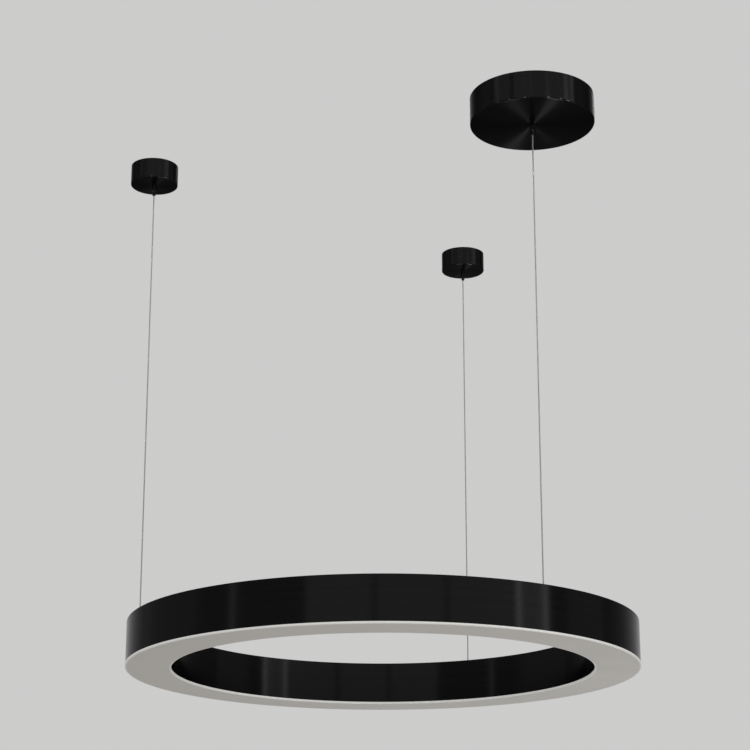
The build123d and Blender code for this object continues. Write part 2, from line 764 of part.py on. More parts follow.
# ------------------------------------------------------------------ driver and mains connection
# The driver hangs under the plate beside the standoff, screwed through a tab at each end.
driver_y = near.y + driver_offset
with BuildPart() as led_driver:
    with BuildSketch(Plane((near.x, driver_y, plate_bottom))):
        RectangleRounded(driver_length, driver_width, driver_edge)
    extrude(amount=-driver_height)
    fillet(led_driver.edges().group_by(Axis.Z)[0], radius=driver_under_edge)
    with BuildSketch(Plane((near.x, driver_y, plate_bottom))):
        RectangleRounded(driver_length + 2 * driver_tab, driver_tab_width, driver_edge)
        with GridLocations(2 * driver_tab_x, 0, 2, 1):
            Circle(m3_hole, mode=Mode.SUBTRACT)
    extrude(amount=-driver_tab_thickness)
led_driver.part.label = "led_driver"
export_step(led_driver.part, "parts/led_driver.step")

# End covers: clipped over the driver's two rows of terminals.
with BuildPart() as driver_end_covers:
    for side in (-1, 1):
        cover_x = near.x + side * (driver_length / 2 - end_cover_length / 2)
        with BuildSketch(Plane((cover_x, driver_y, plate_bottom - driver_height))):
            RectangleRounded(end_cover_length, driver_width - 2 * end_cover_inset, end_cover_corner)
        extrude(amount=-end_cover_thickness)
driver_end_covers.part.label = "driver_end_covers"
export_step(driver_end_covers.part, "parts/driver_end_covers.step")

with BuildPart() as driver_screws:
    for side in (-1, 1):
        seat = Plane((near.x + side * driver_tab_x, driver_y, plate_bottom - driver_tab_thickness))
        with BuildSketch(seat):
            Circle(m3_head_radius)
        extrude(amount=-m3_head_height, taper=screw_head_taper)
        with BuildSketch(seat):
            Circle(m3_radius)
        extrude(amount=driver_tab_thickness + bracket_plate_thickness - flush_gap)
driver_screws.part.label = "driver_screws"
export_step(driver_screws.part, "parts/driver_screws.step")

# Mains block: three poles with a groove between each two and a screw well in each.
pole_pitch = block_length / block_poles
with BuildPart() as mains_terminal_block:
    with BuildSketch(Plane((near.x + block_x, near.y + block_y, plate_bottom))):
        RectangleRounded(block_length, block_width, block_corner)
    extrude(amount=-block_height)
    with BuildSketch(Plane((near.x + block_x, near.y + block_y, plate_bottom - block_height))):
        with GridLocations(pole_pitch, 0, block_poles - 1, 1):
            Rectangle(block_groove, block_width)
    extrude(amount=block_groove_depth, mode=Mode.SUBTRACT)
    with BuildSketch(Plane((near.x + block_x, near.y + block_y, plate_bottom - block_height))):
        with GridLocations(pole_pitch, block_width / 2, block_poles, 2):
            Circle(block_screw_radius)
    extrude(amount=block_screw_depth, mode=Mode.SUBTRACT)
mains_terminal_block.part.label = "mains_terminal_block"
export_step(mains_terminal_block.part, "parts/mains_terminal_block.step")

# Entry grommet: a rubber bush in the plate, its lip underneath, with a bore for the mains cable.
grommet_neck = grommet_radius - grommet_step
grommet_plane = Plane((near.x + grommet_x, near.y + grommet_y, 0), x_dir=(1, 0, 0), z_dir=(0, -1, 0))
with BuildPart() as entry_grommet:
    with BuildSketch(grommet_plane):
        with BuildLine():
            Polyline(
                (grommet_bore, 0),
                (grommet_neck, 0),
                (grommet_neck, plate_bottom),
                (grommet_radius, plate_bottom),
                (grommet_radius, plate_bottom - grommet_lip),
                (grommet_bore, plate_bottom - grommet_lip),
                close=True,
            )
        make_face()
    revolve(axis=Axis((near.x + grommet_x, near.y + grommet_y, 0), (0, 0, 1)))
entry_grommet.part.label = "entry_grommet"
export_step(entry_grommet.part, "parts/entry_grommet.step")

# Earth screw: an M4 stud that points down into the canopy, with its nut under the plate.
with BuildPart() as earth_screw:
    with BuildSketch(Plane((near.x + earth_x, near.y + earth_y, plate_bottom))):
        RegularPolygon(m4_across_flats / 2, 6, major_radius=False)
    extrude(amount=-m4_nut_height)
    with BuildSketch(Plane((near.x + earth_x, near.y + earth_y, -flush_gap))):
        Circle(m4_radius)
    extrude(amount=-earth_length)
earth_screw.part.label = "earth_screw"
export_step(earth_screw.part, "parts/earth_screw.step")

# ------------------------------------------------------------------ leads
# Thin insulated leads, each a run of straight lengths joined by bends as large as the runs allow.


def bend_radii(points):
    """Radius at each inner point, so that the bend takes up bend_share of the shorter run."""
    radii = []
    for before, corner, after in zip(points, points[1:], points[2:]):
        first = Vector(*corner) - Vector(*before)
        second = Vector(*after) - Vector(*corner)
        turn = first.get_angle(second)
        radii.append(bend_share * min(first.length, second.length) / tan(radians(turn / 2)))
    return radii


# Mains side: line and neutral from the block to the driver, and the earth lead to the earth screw.
mains_z = -mains_lead_drop
block_face = block_y + block_width / 2 + lead_gap
driver_face = driver_offset - driver_width / 2 - lead_gap
pole_x = [block_x + (pole - 1) * pole_pitch for pole in range(block_poles)]
earth_end = earth_x - m4_radius - lead_gap
mains_routes = []
for pole, shift in enumerate(mains_shifts):
    mains_routes.append(
        [
            near.point(pole_x[pole], block_face, mains_z),
            near.point(pole_x[pole], block_face + mains_straight, mains_z),
            near.point(pole_x[pole] + shift, block_face + mains_straight + mains_shifts[0], mains_z),
            near.point(pole_x[pole] + shift, driver_face, mains_z),
        ]
    )
mains_routes.append(
    [
        near.point(pole_x[-1], block_face, mains_z),
        near.point(pole_x[-1], earth_y, mains_z),
        near.point(earth_end, earth_y, mains_z),
    ]
)
with BuildPart() as mains_leads:
    for points in mains_routes:
        with BuildLine() as route:
            FilletPolyline(*points, radius=bend_radii(points))
        with BuildSketch(Plane(route.line @ 0, z_dir=route.line % 0)):
            Circle(lead_radius)
        sweep(path=route.line)
mains_leads.part.label = "mains_leads"
export_step(mains_leads.part, "parts/mains_leads.step")

# Low-voltage side: from the driver through the standoff's window to the supply wire's two conductors.
output_z = -output_lead_drop
window_end = -wire_radius - lead_gap
output_routes = []
for start_x, lane in zip(output_lead_starts, (-anchor_lead_offset, anchor_lead_offset)):
    output_routes.append(
        [
            near.point(start_x, driver_face, output_z),
            near.point(start_x, lane, output_z),
            near.point(window_end, lane, output_z),
        ]
    )
with BuildPart() as driver_output_leads:
    for points in output_routes:
        with BuildLine() as route:
            FilletPolyline(*points, radius=bend_radii(points))
        with BuildSketch(Plane(route.line @ 0, z_dir=route.line % 0)):
            Circle(lead_radius)
        sweep(path=route.line)
driver_output_leads.part.label = "driver_output_leads"
export_step(driver_output_leads.part, "parts/driver_output_leads.step")

# Ring block: two poles, on the carrier's top face.
block_seat = near.ring_point(ring_block_along, ring_block_inward, carrier_top)
block_lid = near.ring_point(ring_block_along, ring_block_inward, carrier_top + ring_block_height)
with BuildPart() as ring_terminal_block:
    with BuildSketch(Plane(block_seat, x_dir=along_ring, z_dir=(0, 0, 1))):
        RectangleRounded(ring_block_length, ring_block_width, connector_corner)
    extrude(amount=ring_block_height)
    with BuildSketch(Plane(block_lid, x_dir=along_ring, z_dir=(0, 0, 1))):
        with GridLocations(ring_block_length / 2, ring_block_width / 2, 2, 2):
            Circle(m3_radius)
    extrude(amount=-ring_block_height / 2, mode=Mode.SUBTRACT)
ring_terminal_block.part.label = "ring_terminal_block"
export_step(ring_terminal_block.part, "parts/ring_terminal_block.step")

# Supply leads: from under the supply wire's ball, out of the anchor's open foot and into the block's end.
lead_z = carrier_top + ring_block_height / 2
supply_start = ball_z - ball_radius - ball_clearance
block_end = ring_block_along - ring_block_length / 2 - lead_gap
supply_routes = []
for side in (-1, 1):
    start_inward = side * anchor_lead_offset
    end_inward = ring_block_inward + side * lead_spacing / 2
    supply_routes.append(
        [
            near.ring_point(0, start_inward, supply_start),
            near.ring_point(0, start_inward, lead_z),
            near.ring_point(block_end - supply_straight, end_inward, lead_z),
            near.ring_point(block_end, end_inward, lead_z),
        ]
    )
with BuildPart() as supply_leads:
    for points in supply_routes:
        with BuildLine() as route:
            FilletPolyline(*points, radius=bend_radii(points))
        with BuildSketch(Plane(route.line @ 0, z_dir=route.line % 0)):
            Circle(lead_radius)
        sweep(path=route.line)
supply_leads.part.label = "supply_leads"
export_step(supply_leads.part, "parts/supply_leads.step")

# Feed leads: from the block's inner side, down through the carrier and into the plug on the first board.
feed_z = board_bottom - connector_height / 2
block_side = ring_block_inward + ring_block_width / 2 + lead_gap
plug_side = feed_plug_inward + feed_plug_width / 2 + lead_gap
feed_routes = []
for side in (-1, 1):
    along = ring_block_along + side * lead_spacing / 2
    feed_routes.append(
        [
            near.ring_point(along, block_side, lead_z),
            near.ring_point(along, feed_hole_inward, lead_z),
            near.ring_point(along, feed_hole_inward, feed_z),
            near.ring_point(along, plug_side, feed_z),
        ]
    )
with BuildPart() as feed_leads:
    for points in feed_routes:
        with BuildLine() as route:
            FilletPolyline(*points, radius=bend_radii(points))
        with BuildSketch(Plane(route.line @ 0, z_dir=route.line % 0)):
            Circle(lead_radius)
        sweep(path=route.line)
feed_leads.part.label = "feed_leads"
export_step(feed_leads.part, "parts/feed_leads.step")
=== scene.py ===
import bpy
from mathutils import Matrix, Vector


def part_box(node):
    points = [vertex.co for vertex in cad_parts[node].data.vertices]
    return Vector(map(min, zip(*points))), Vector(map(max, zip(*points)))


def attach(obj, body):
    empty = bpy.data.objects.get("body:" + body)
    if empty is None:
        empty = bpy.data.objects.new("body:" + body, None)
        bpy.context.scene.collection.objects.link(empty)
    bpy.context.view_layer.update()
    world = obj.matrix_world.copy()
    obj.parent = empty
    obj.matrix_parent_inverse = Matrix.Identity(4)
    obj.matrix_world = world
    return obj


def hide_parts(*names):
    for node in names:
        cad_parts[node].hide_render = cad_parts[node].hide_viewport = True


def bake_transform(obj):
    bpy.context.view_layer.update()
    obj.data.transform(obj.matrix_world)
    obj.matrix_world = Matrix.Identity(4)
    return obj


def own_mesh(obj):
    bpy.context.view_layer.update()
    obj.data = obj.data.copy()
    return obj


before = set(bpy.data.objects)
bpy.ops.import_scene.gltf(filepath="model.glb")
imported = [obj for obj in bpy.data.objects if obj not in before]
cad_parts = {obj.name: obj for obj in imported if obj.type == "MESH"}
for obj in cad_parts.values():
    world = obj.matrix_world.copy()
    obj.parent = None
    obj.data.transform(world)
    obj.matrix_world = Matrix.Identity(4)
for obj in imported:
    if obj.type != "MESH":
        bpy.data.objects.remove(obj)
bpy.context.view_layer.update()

import math
import bmesh
import bpy
from mathutils import Vector

# ------------------------------------------------------------------ where the lamp is seen from
# The lamp is seen from in front and below, through a long lens whose axis is set a little low in the picture.
picture_width = 750
sensor_width = 36
lens_in_pixels = 2000
axis_below_middle = 55
farthest_seen = 100
camera_spot = (-0.0308, -3.1036, -1.3553)
degrees_up = 16.41
degrees_right = 0.34
camera = bpy.data.objects.new("camera", bpy.data.cameras.new("camera"))
bpy.context.scene.collection.objects.link(camera)
bpy.context.scene.camera = camera
camera.data.sensor_width = sensor_width
camera.data.lens = sensor_width * lens_in_pixels / picture_width
camera.data.shift_y = axis_below_middle / picture_width
camera.data.clip_end = farthest_seen
camera.location = camera_spot
camera.rotation_euler = (math.radians(90 + degrees_up), 0, math.radians(-degrees_right))
bpy.context.scene.view_settings.view_transform = "Standard"


# ------------------------------------------------------------------ suspension wires
# Three stainless ropes, 2 mm thick: six strands laid round a core, pulled straight by the ring. The near one
# also carries the low voltage down to the ring. Each ends in a ball that is pressed on.
def principled(name, **sockets):
    """A material with one Principled shader, and that shader."""
    material = bpy.data.materials.new(name)
    material.use_nodes = True
    shader = material.node_tree.nodes["Principled BSDF"]
    for socket, value in sockets.items():
        shader.inputs[socket.replace("_", " ")].default_value = value
    return material, shader


def node(material, kind, inputs, out=0, **settings):
    """One output of a new node in a material. Each input is a number, or another node's output."""
    made = material.node_tree.nodes.new(kind)
    for key, value in settings.items():
        setattr(made, key, value)
    for socket, value in inputs.items():
        if isinstance(value, bpy.types.NodeSocket):
            material.node_tree.links.new(value, made.inputs[socket])
        else:
            made.inputs[socket].default_value = value
    return made.outputs[out]


def place_on(material, centre=(0, 0, 0), scale=(1, 1, 1)):
    """Object coordinates, measured from a centre and then scaled."""
    place = node(material, "ShaderNodeTexCoord", {}, "Object")
    shift = [-along * factor for along, factor in zip(centre, scale)]
    return node(material, "ShaderNodeMapping", {"Vector": place, "Location": shift, "Scale": scale})


def noise(material, place, scale=1.0, detail=2.0, roughness=0.5):
    """Soft noise on some coordinates."""
    inputs = {"Vector": place, "Scale": scale, "Detail": detail, "Roughness": roughness}
    return node(material, "ShaderNodeTexNoise", inputs)


def blend_colours(material, factor, low, high, start=0.3, end=0.7):
    """A colour between two, by a factor."""
    stretched = node(material, "ShaderNodeMapRange", {"Value": factor, "From Min": start, "From Max": end})
    colours = {0: stretched, 6: (*low, 1), 7: (*high, 1)}
    return node(material, "ShaderNodeMix", colours, 2, data_type="RGBA")


def spread(material, factor, low, high, start=0.3, end=0.7):
    """A number between two, by a factor."""
    inputs = {"Value": factor, "From Min": start, "From Max": end, "To Min": low, "To Max": high}
    return node(material, "ShaderNodeMapRange", inputs)


def finish(material, shader, factor, colours, roughness, height=0.0):
    """Gives a shader a colour and a roughness that vary with a factor, and relief of a height in metres."""
    links = material.node_tree.links
    links.new(blend_colours(material, factor, *colours), shader.inputs["Base Color"])
    links.new(spread(material, factor, *roughness), shader.inputs["Roughness"])
    if height:
        relief = node(material, "ShaderNodeBump", {"Height": factor, "Distance": height}, "Normal")
        links.new(relief, shader.inputs["Normal"])


def mottled(name, scale, detail, colours, roughness, height=0.0, stretch=(1, 1, 1), **sockets):
    """A material whose colour and roughness vary with soft noise, and its relief where it has a height."""
    material, shader = principled(name, **sockets)
    place = place_on(material, scale=stretch)
    finish(material, shader, noise(material, place, scale, detail), colours, roughness, height)
    return material


def new_piece(name, points, faces, material):
    """A smooth-shaded mesh object."""
    mesh = bpy.data.meshes.new(name)
    mesh.from_pydata(points, [], faces)
    mesh.shade_smooth()
    mesh.materials.append(material)
    piece = bpy.data.objects.new(name, mesh)
    bpy.context.scene.collection.objects.link(piece)
    return piece


places = ("near", "far", "left")
rope_strands = 6
rope_lay = 0.016
rope_ring_step = 0.0011
rope_sides_per_strand = 6
strand_flute = 0.22
rope_steel = mottled("stainless rope", scale=1.0, detail=3.0, stretch=(900, 900, 60), Metallic=1.0,
                     colours=((0.21, 0.21, 0.207), (0.27, 0.27, 0.265)), roughness=(0.42, 0.52))


def rope_reach(turn, radius):
    """Outline of round strands about a core. Each strand is a third of the rope's radius."""
    strand = radius / 3
    pitch = 2 * math.pi / rope_strands
    off = (turn + pitch / 2) % pitch - pitch / 2
    across = (radius - strand) * math.sin(off)
    outline_reach = (radius - strand) * math.cos(off) + math.sqrt(max(strand**2 - across**2, 0))
    return radius - (radius - outline_reach) * strand_flute


def tube_faces(rings, sides, first=0):
    """Faces of a closed tube, from the rings of points along it."""
    faces = [tuple(first + side for side in range(sides))]
    faces.append(tuple(first + rings * sides + side for side in reversed(range(sides))))
    for ring in range(rings):
        for side in range(sides):
            a = first + ring * sides + side
            b = first + ring * sides + (side + 1) % sides
            faces.append((b, a, a + sides, b + sides))
    return faces


def rope_tube(top, foot, radius, first=0, cup=(), dome=()):
    """Points and faces of a rope from top to foot: a closed tube with twisted flutes. A cup in its top or a
    dome under its foot is given as round rings, each with its height above that end and its reach."""
    rings = round((foot - top).length / rope_ring_step)
    sides = rope_strands * rope_sides_per_strand
    spots = [(top, height, reach) for height, reach in cup]
    spots += [(top.lerp(foot, ring / rings), 0, 0) for ring in range(rings + 1)]
    spots += [(foot, height, reach) for height, reach in dome]
    points = []
    for centre, height, round_reach in spots:
        twist = 2 * math.pi * (top.z - centre.z) / rope_lay
        for side in range(sides):
            turn = 2 * math.pi * side / sides
            reach = round_reach or rope_reach(turn, radius)
            across = reach * math.cos(turn + twist)
            back = reach * math.sin(turn + twist)
            points.append(centre + Vector((across, back, height)))
    return points, tube_faces(len(spots) - 1, sides, first)


def route_line(name, top, foot):
    """Points along a wire's route."""
    curve = bpy.data.curves.new(name, "CURVE")
    curve.dimensions = "3D"
    spline = curve.splines.new("NURBS")
    spline.points.add(2)
    for point, spot in zip(spline.points, (top, (top + foot) / 2, foot)):
        point.co = (*spot, 1)
    spline.order_u = 3
    spline.use_endpoint_u = True
    spline.resolution_u = 24
    guide = bpy.data.objects.new(name, curve)
    line = [Vector(vertex.co) for vertex in bpy.data.meshes.new_from_object(guide).vertices]
    bpy.data.objects.remove(guide)
    return line


# Under each gripper the wire bends at one point as the ring swings. There its upper part ends in a dome that
# fits in a cup in the part below, so that no light shows between them.
bend_steps = 6
cup_reach = 0.00087
dome_reach = 0.00082
dome_shoulder = 0.00002
dome_sweep = math.radians(84)
tail_low, tail_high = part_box("wire_tails")
bend_gap = (tail_low.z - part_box("wire_near")[1].z) / 2
cup_edge = math.acos(bend_gap / cup_reach)
cup_rings = []
dome_rings = []
for step in range(bend_steps + 1):
    turn = cup_edge * (step + 0.5) / (bend_steps + 0.5)
    cup_rings.append((bend_gap - cup_reach * math.cos(turn), cup_reach * math.sin(turn)))
    turn = dome_sweep * step / bend_steps
    dome_rings.append((-dome_shoulder - dome_reach * math.sin(turn), dome_reach * math.cos(turn)))

wire_axis = {}
for place in places:
    low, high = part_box(f"wire_{place}")
    wire_axis[place] = Vector(((low.x + high.x) / 2, (low.y + high.y) / 2, 0))
    top = wire_axis[place] + Vector((0, 0, high.z))
    foot = wire_axis[place] + Vector((0, 0, low.z))
    wire_radius = (high.x - low.x) / 2
    wire = new_piece(f"rope_{place}", *rope_tube(top, foot, wire_radius, cup=cup_rings), rope_steel)
    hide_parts(f"wire_{place}")
    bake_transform(wire)
    route_line(f"route_{place}", top, foot)

# The upper end of each wire is held in its gripper and ends inside the canopy.
tail_points = []
tail_faces = []
for place in places:
    tail_top = wire_axis[place] + Vector((0, 0, tail_high.z))
    tail_foot = wire_axis[place] + Vector((0, 0, tail_low.z - bend_gap + dome_shoulder))
    points, faces = rope_tube(tail_top, tail_foot, wire_radius, len(tail_points), dome=dome_rings)
    tail_points += points
    tail_faces += faces
tails = new_piece("rope_tails", tail_points, tail_faces, rope_steel)
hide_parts("wire_tails")
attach(tails, "ceiling_fittings")


# ------------------------------------------------------------------ ceiling plate and straps
# Pressed steel, hot-dip galvanised: the plate of the driver canopy and a strap for each small canopy. They
# are screwed to the ceiling. The zinc shows its spangle, and so it does on the anchors' nuts and washers.
def dress(material, *nodes):
    """Gives CAD nodes a material."""
    for name in nodes:
        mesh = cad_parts[name].data
        mesh.materials.clear()
        mesh.materials.append(material)


zinc, zinc_shader = principled("zinc plate", Metallic=1.0)
spangle_cells = {"Vector": place_on(zinc), "Scale": 230.0}
spangle = node(zinc, "ShaderNodeTexVoronoi", spangle_cells, "Color")
spangle = node(zinc, "ShaderNodeSeparateColor", {"Color": spangle})
finish(zinc, zinc_shader, spangle, ((0.36, 0.37, 0.38), (0.44, 0.45, 0.455)), (0.40, 0.50), 0.00001)
dress(zinc, "ceiling_plate", "ceiling_bracket_far", "ceiling_bracket_left", "anchor_washers", "anchor_nuts")

# ------------------------------------------------------------------ mains side of the driver canopy
# Under the plate: a rubber grommet for the mains cable, a brass earth screw, a three-pole block of white
# polyamide, the driver in its white case with grey covers, and the leads between them.
rubber = mottled("black rubber", scale=900, detail=4, colours=((0.012, 0.012, 0.012), (0.026, 0.026, 0.027)),
                 roughness=(0.62, 0.8), height=0.00004)
dress(rubber, "entry_grommet")

brass = mottled("turned brass", scale=420, detail=3, stretch=(1, 1, 8), Metallic=1.0,
                colours=((0.52, 0.36, 0.13), (0.74, 0.55, 0.24)), roughness=(0.24, 0.38), height=0.00001)
dress(brass, "earth_screw")

# The block and the plugs in the ring are of the same polyamide.
polyamide = mottled("white polyamide", scale=260, detail=5, colours=((0.66, 0.66, 0.64), (0.75, 0.75, 0.73)),
                    roughness=(0.42, 0.55), height=0.00003)
dress(polyamide, "mains_terminal_block", "ring_terminal_block", "board_connectors")

case_plastic = mottled("white driver case", scale=1500, detail=3, height=0.00005,
                       colours=((0.68, 0.68, 0.67), (0.74, 0.74, 0.73)), roughness=(0.45, 0.6))
dress(case_plastic, "led_driver")

cover_plastic = mottled("grey cover plastic", scale=1300, detail=3, height=0.00005,
                        colours=((0.27, 0.27, 0.28), (0.34, 0.34, 0.35)), roughness=(0.48, 0.62))
dress(cover_plastic, "driver_end_covers")

brown = ((0.115, 0.045, 0.018), (0.150, 0.062, 0.026))
blue = ((0.020, 0.085, 0.36), (0.032, 0.115, 0.45))
green = ((0.020, 0.200, 0.050), (0.034, 0.260, 0.075))
yellow = ((0.62, 0.46, 0.035), (0.74, 0.57, 0.060))
red = ((0.42, 0.022, 0.018), (0.52, 0.036, 0.028))
black = ((0.014, 0.014, 0.015), (0.024, 0.024, 0.025))


def insulation(name, first, *others):
    """Insulation in several colours. Each other one lies beyond a limit, which is a direction and how far."""
    material, shader = principled(name)
    place = place_on(material)
    smear = noise(material, place, scale=500)
    finish(material, shader, smear, first, roughness=(0.32, 0.45))
    colour = shader.inputs["Base Color"].links[0].from_socket
    for pair, limits in others:
        beyond = 0.0
        for direction, distance in limits:
            reach = node(material, "ShaderNodeVectorMath", {0: place, 1: direction}, "Value",
                         operation="DOT_PRODUCT")
            past = node(material, "ShaderNodeMath", {0: reach, 1: distance}, operation="GREATER_THAN")
            beyond = node(material, "ShaderNodeMath", {0: past, 1: beyond}, operation="MAXIMUM")
        other = blend_colours(material, smear, *pair)
        colour = node(material, "ShaderNodeMix", {0: beyond, 6: colour, 7: other}, 2, data_type="RGBA")
    material.node_tree.links.new(colour, shader.inputs["Base Color"])
    return material


# From the block: line in brown, neutral in blue, and earth in green below and yellow above. From the driver:
# red, and black, which lies farther left and in front.
left = (-1, 0, 0)
front = (0, -1, 0)
down = (0, 0, -1)
earth_level = -0.008
neutral_limit = 0.2489
line_limit = 0.2392
black_left_limit = 0.190
black_front_limit = -0.30545
mains_colours = insulation("mains lead colours", yellow, (green, [(down, -earth_level)]),
                           (blue, [(left, -neutral_limit)]), (brown, [(left, -line_limit)]))
dress(mains_colours, "mains_leads")
output_colours = insulation("output lead colours", red,
                            (black, [(left, -black_left_limit), (front, -black_front_limit)]))
dress(output_colours, "driver_output_leads")


# ------------------------------------------------------------------ standoffs
# Turned steel tubes, M6 at both ends, that join each canopy to its plate or strap. The wire runs up through
# the bore and out of the window in the side. The balls at the wires' feet are turned from the same steel.
def turning(material, axis, round_scale, across_scale):
    """Coordinates for marks of turning or rolling: long round an upright axis, fine across the section."""
    centred = place_on(material, axis)
    split = node(material, "ShaderNodeSeparateXYZ", {"Vector": centred}, "Z")
    flat = node(material, "ShaderNodeVectorMath", {0: centred, 1: (1, 1, 0)}, operation="MULTIPLY")
    reach = node(material, "ShaderNodeVectorMath", {0: flat}, "Value", operation="LENGTH")
    across = node(material, "ShaderNodeMath", {0: reach, 1: split}, operation="ADD")
    across = node(material, "ShaderNodeMath", {0: across, 1: across_scale}, operation="MULTIPLY")
    round_about = node(material, "ShaderNodeVectorMath", {0: flat, "Scale": round_scale}, operation="SCALE")
    apart = node(material, "ShaderNodeCombineXYZ", {"Z": across})
    return node(material, "ShaderNodeVectorMath", {0: round_about, 1: apart}, operation="ADD")


def turned_metal(name, axis, colours, roughness, height, round_scale=20, across_scale=3000, **sockets):
    """A metal with fine marks round an upright axis, and reflections drawn out across them."""
    material, shader = principled(name, **{"Anisotropic": 0.85, "Anisotropic_Rotation": 0.25, **sockets})
    marks = noise(material, turning(material, axis, round_scale, across_scale))
    finish(material, shader, marks, colours, roughness, height)
    return material


for place in places:
    steel = turned_metal(f"turned steel {place}", wire_axis[place], Metallic=1.0, roughness=(0.22, 0.36),
                         colours=((0.40, 0.40, 0.41), (0.58, 0.58, 0.58)), height=0.00001)
    dress(steel, f"standoff_{place}", f"wire_ball_{place}")


# ------------------------------------------------------------------ canopies
# Three caps spun from sheet and turned smooth, black-lacquered inside and out. The fine rings of the turning
# show through the lacquer underneath. Each hangs on its standoff, 0.4 mm below the ceiling.
def outline(corners, arc_steps=6):
    """Points round a closed section, anticlockwise. Each corner is its radius, height and rounding."""
    points = []
    for before, corner, after in zip(corners[-1:] + corners[:-1], corners, corners[1:] + corners[:1]):
        here = Vector(corner[:2])
        if len(corner) == 2:
            points.append(here)
            continue
        back = (Vector(before[:2]) - here).normalized()
        forth = (Vector(after[:2]) - here).normalized()
        half = back.angle(forth) / 2
        centre = here + (back + forth).normalized() * corner[2] / math.sin(half)
        start = (here + back * corner[2] / math.tan(half) - centre).normalized()
        end = (here + forth * corner[2] / math.tan(half) - centre).normalized()
        points += [centre + start.slerp(end, step / arc_steps) * corner[2] for step in range(arc_steps + 1)]
    area = sum(a.x * b.y - b.x * a.y for a, b in zip(points, points[1:] + points[:1]))
    return points if area > 0 else points[::-1]


def settle(piece, crease=35):
    """Keeps a piece's corners crisp and its flat faces flat, and takes its modifiers into its mesh."""
    for weigh in (False, True):
        if weigh:
            piece.data.shade_smooth()
            piece.data.set_sharp_from_angle(angle=math.radians(crease))
            flats = piece.modifiers.new("flats", "WEIGHTED_NORMAL")
            flats.keep_sharp = True
        graph = bpy.context.evaluated_depsgraph_get()
        piece.data = bpy.data.meshes.new_from_object(piece.evaluated_get(graph))
        piece.modifiers.clear()


def turned(name, axis, corners, steps, material, cuts=None):
    """A piece turned about an upright axis from its closed section."""
    section = outline(corners)
    count = len(section)
    points = []
    faces = []
    for step in range(steps):
        turn = 2 * math.pi * step / steps
        after = (step + 1) % steps
        for mark, (reach, level) in enumerate(section):
            points.append((axis.x + reach * math.cos(turn), axis.y + reach * math.sin(turn), level))
            upper = (mark + 1) % count
            faces.append((step * count + mark, after * count + mark,
                          after * count + upper, step * count + upper))
    piece = new_piece(name, points, faces, material)
    shape = bmesh.new()
    shape.from_mesh(piece.data)
    bmesh.ops.remove_doubles(shape, verts=shape.verts, dist=1e-7)
    shape.to_mesh(piece.data)
    shape.free()
    if cuts:
        holes = piece.modifiers.new("holes", "BOOLEAN")
        holes.operation = "DIFFERENCE"
        holes.solver = "EXACT"
        holes.object = cuts
    settle(piece)
    return piece


canopy_rim = -0.0004
rim_edge = 0.0003
canopy_hole = 0.00315
canopy_steps = 144
lacquer_colours = ((0.0072, 0.0072, 0.0075), (0.0088, 0.0088, 0.0091))
lacquer_round = 1.5
lacquer_across = 1100
cap_roughness = (0.18, 0.23)
cap_relief = 0.0000007
cap_edge_tint = (0.48, 0.48, 0.48, 1)

# Each canopy's wire, radius, wall, height, thickness of its underside and rounding of its lower edge.
canopies = {
    "driver_canopy": ("near", 0.095, 0.0015, 0.045, 0.002, 0.0025),
    "canopy_far": ("far", 0.0385, 0.0012, 0.034, 0.0015, 0.002),
    "canopy_left": ("left", 0.0385, 0.0012, 0.034, 0.0015, 0.002),
}
for name, (place, radius, wall, height, bottom, edge) in canopies.items():
    lacquer = turned_metal(f"black lacquer {name}", wire_axis[place], lacquer_colours, cap_roughness,
                           cap_relief, round_scale=lacquer_round, across_scale=lacquer_across,
                           Metallic=1.0, Specular_Tint=cap_edge_tint, Anisotropic=1.0)
    section = [(canopy_hole, -height), (radius, -height, edge), (radius, canopy_rim, rim_edge),
               (radius - wall, canopy_rim, rim_edge), (radius - wall, bottom - height, wall),
               (canopy_hole, bottom - height)]
    canopy = turned(f"cap_{name}", wire_axis[place], section, canopy_steps, lacquer)
    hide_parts(name)
    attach(canopy, "ceiling_fittings")

# ------------------------------------------------------------------ grippers
# Under each canopy a turned barrel, blackened, holds three hardened balls in a cone. The plunger's nose is
# pushed up against its spring to free the wire. The bush at each wire's foot is blackened too.
for place in places:
    blackened = turned_metal(f"blackened steel {place}", wire_axis[place], roughness=(0.24, 0.40),
                             colours=((0.010, 0.010, 0.0105), (0.020, 0.020, 0.021)), height=0.00001,
                             round_scale=60, across_scale=4200, Metallic=1.0, Specular_Tint=cap_edge_tint)
    dress(blackened, f"gripper_barrel_{place}", f"release_plunger_{place}", f"wire_anchor_{place}")

# A short coil spring sits between each plunger and its standoff. It closes up as the plunger rises.
spring_steel = mottled("spring steel", scale=2500, detail=2, Metallic=1.0,
                       colours=((0.30, 0.30, 0.31), (0.48, 0.48, 0.48)), roughness=(0.25, 0.4))
spring_wire_radius = 0.0002
spring_turns = 3
spring_rings = 24 * spring_turns
spring_sides = 10
for place in places:
    low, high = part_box(f"plunger_spring_{place}")
    coil_radius = (high.x - low.x) / 2 - spring_wire_radius
    rise = high.z - low.z - 2 * spring_wire_radius
    points = []
    for ring in range(spring_rings + 1):
        turn = 2 * math.pi * spring_turns * ring / spring_rings
        outwards = Vector((math.cos(turn), math.sin(turn), 0))
        level = low.z + spring_wire_radius + rise * ring / spring_rings
        for side in range(spring_sides):
            around = 2 * math.pi * side / spring_sides
            reach = coil_radius + spring_wire_radius * math.cos(around)
            height = level + spring_wire_radius * math.sin(around)
            points.append(wire_axis[place] + outwards * reach + Vector((0, 0, height)))
    spring = new_piece(f"coil_{place}", points, tube_faces(spring_rings, spring_sides), spring_steel)
    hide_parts(f"plunger_spring_{place}")
    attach(spring, "ceiling_fittings")
    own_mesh(spring)

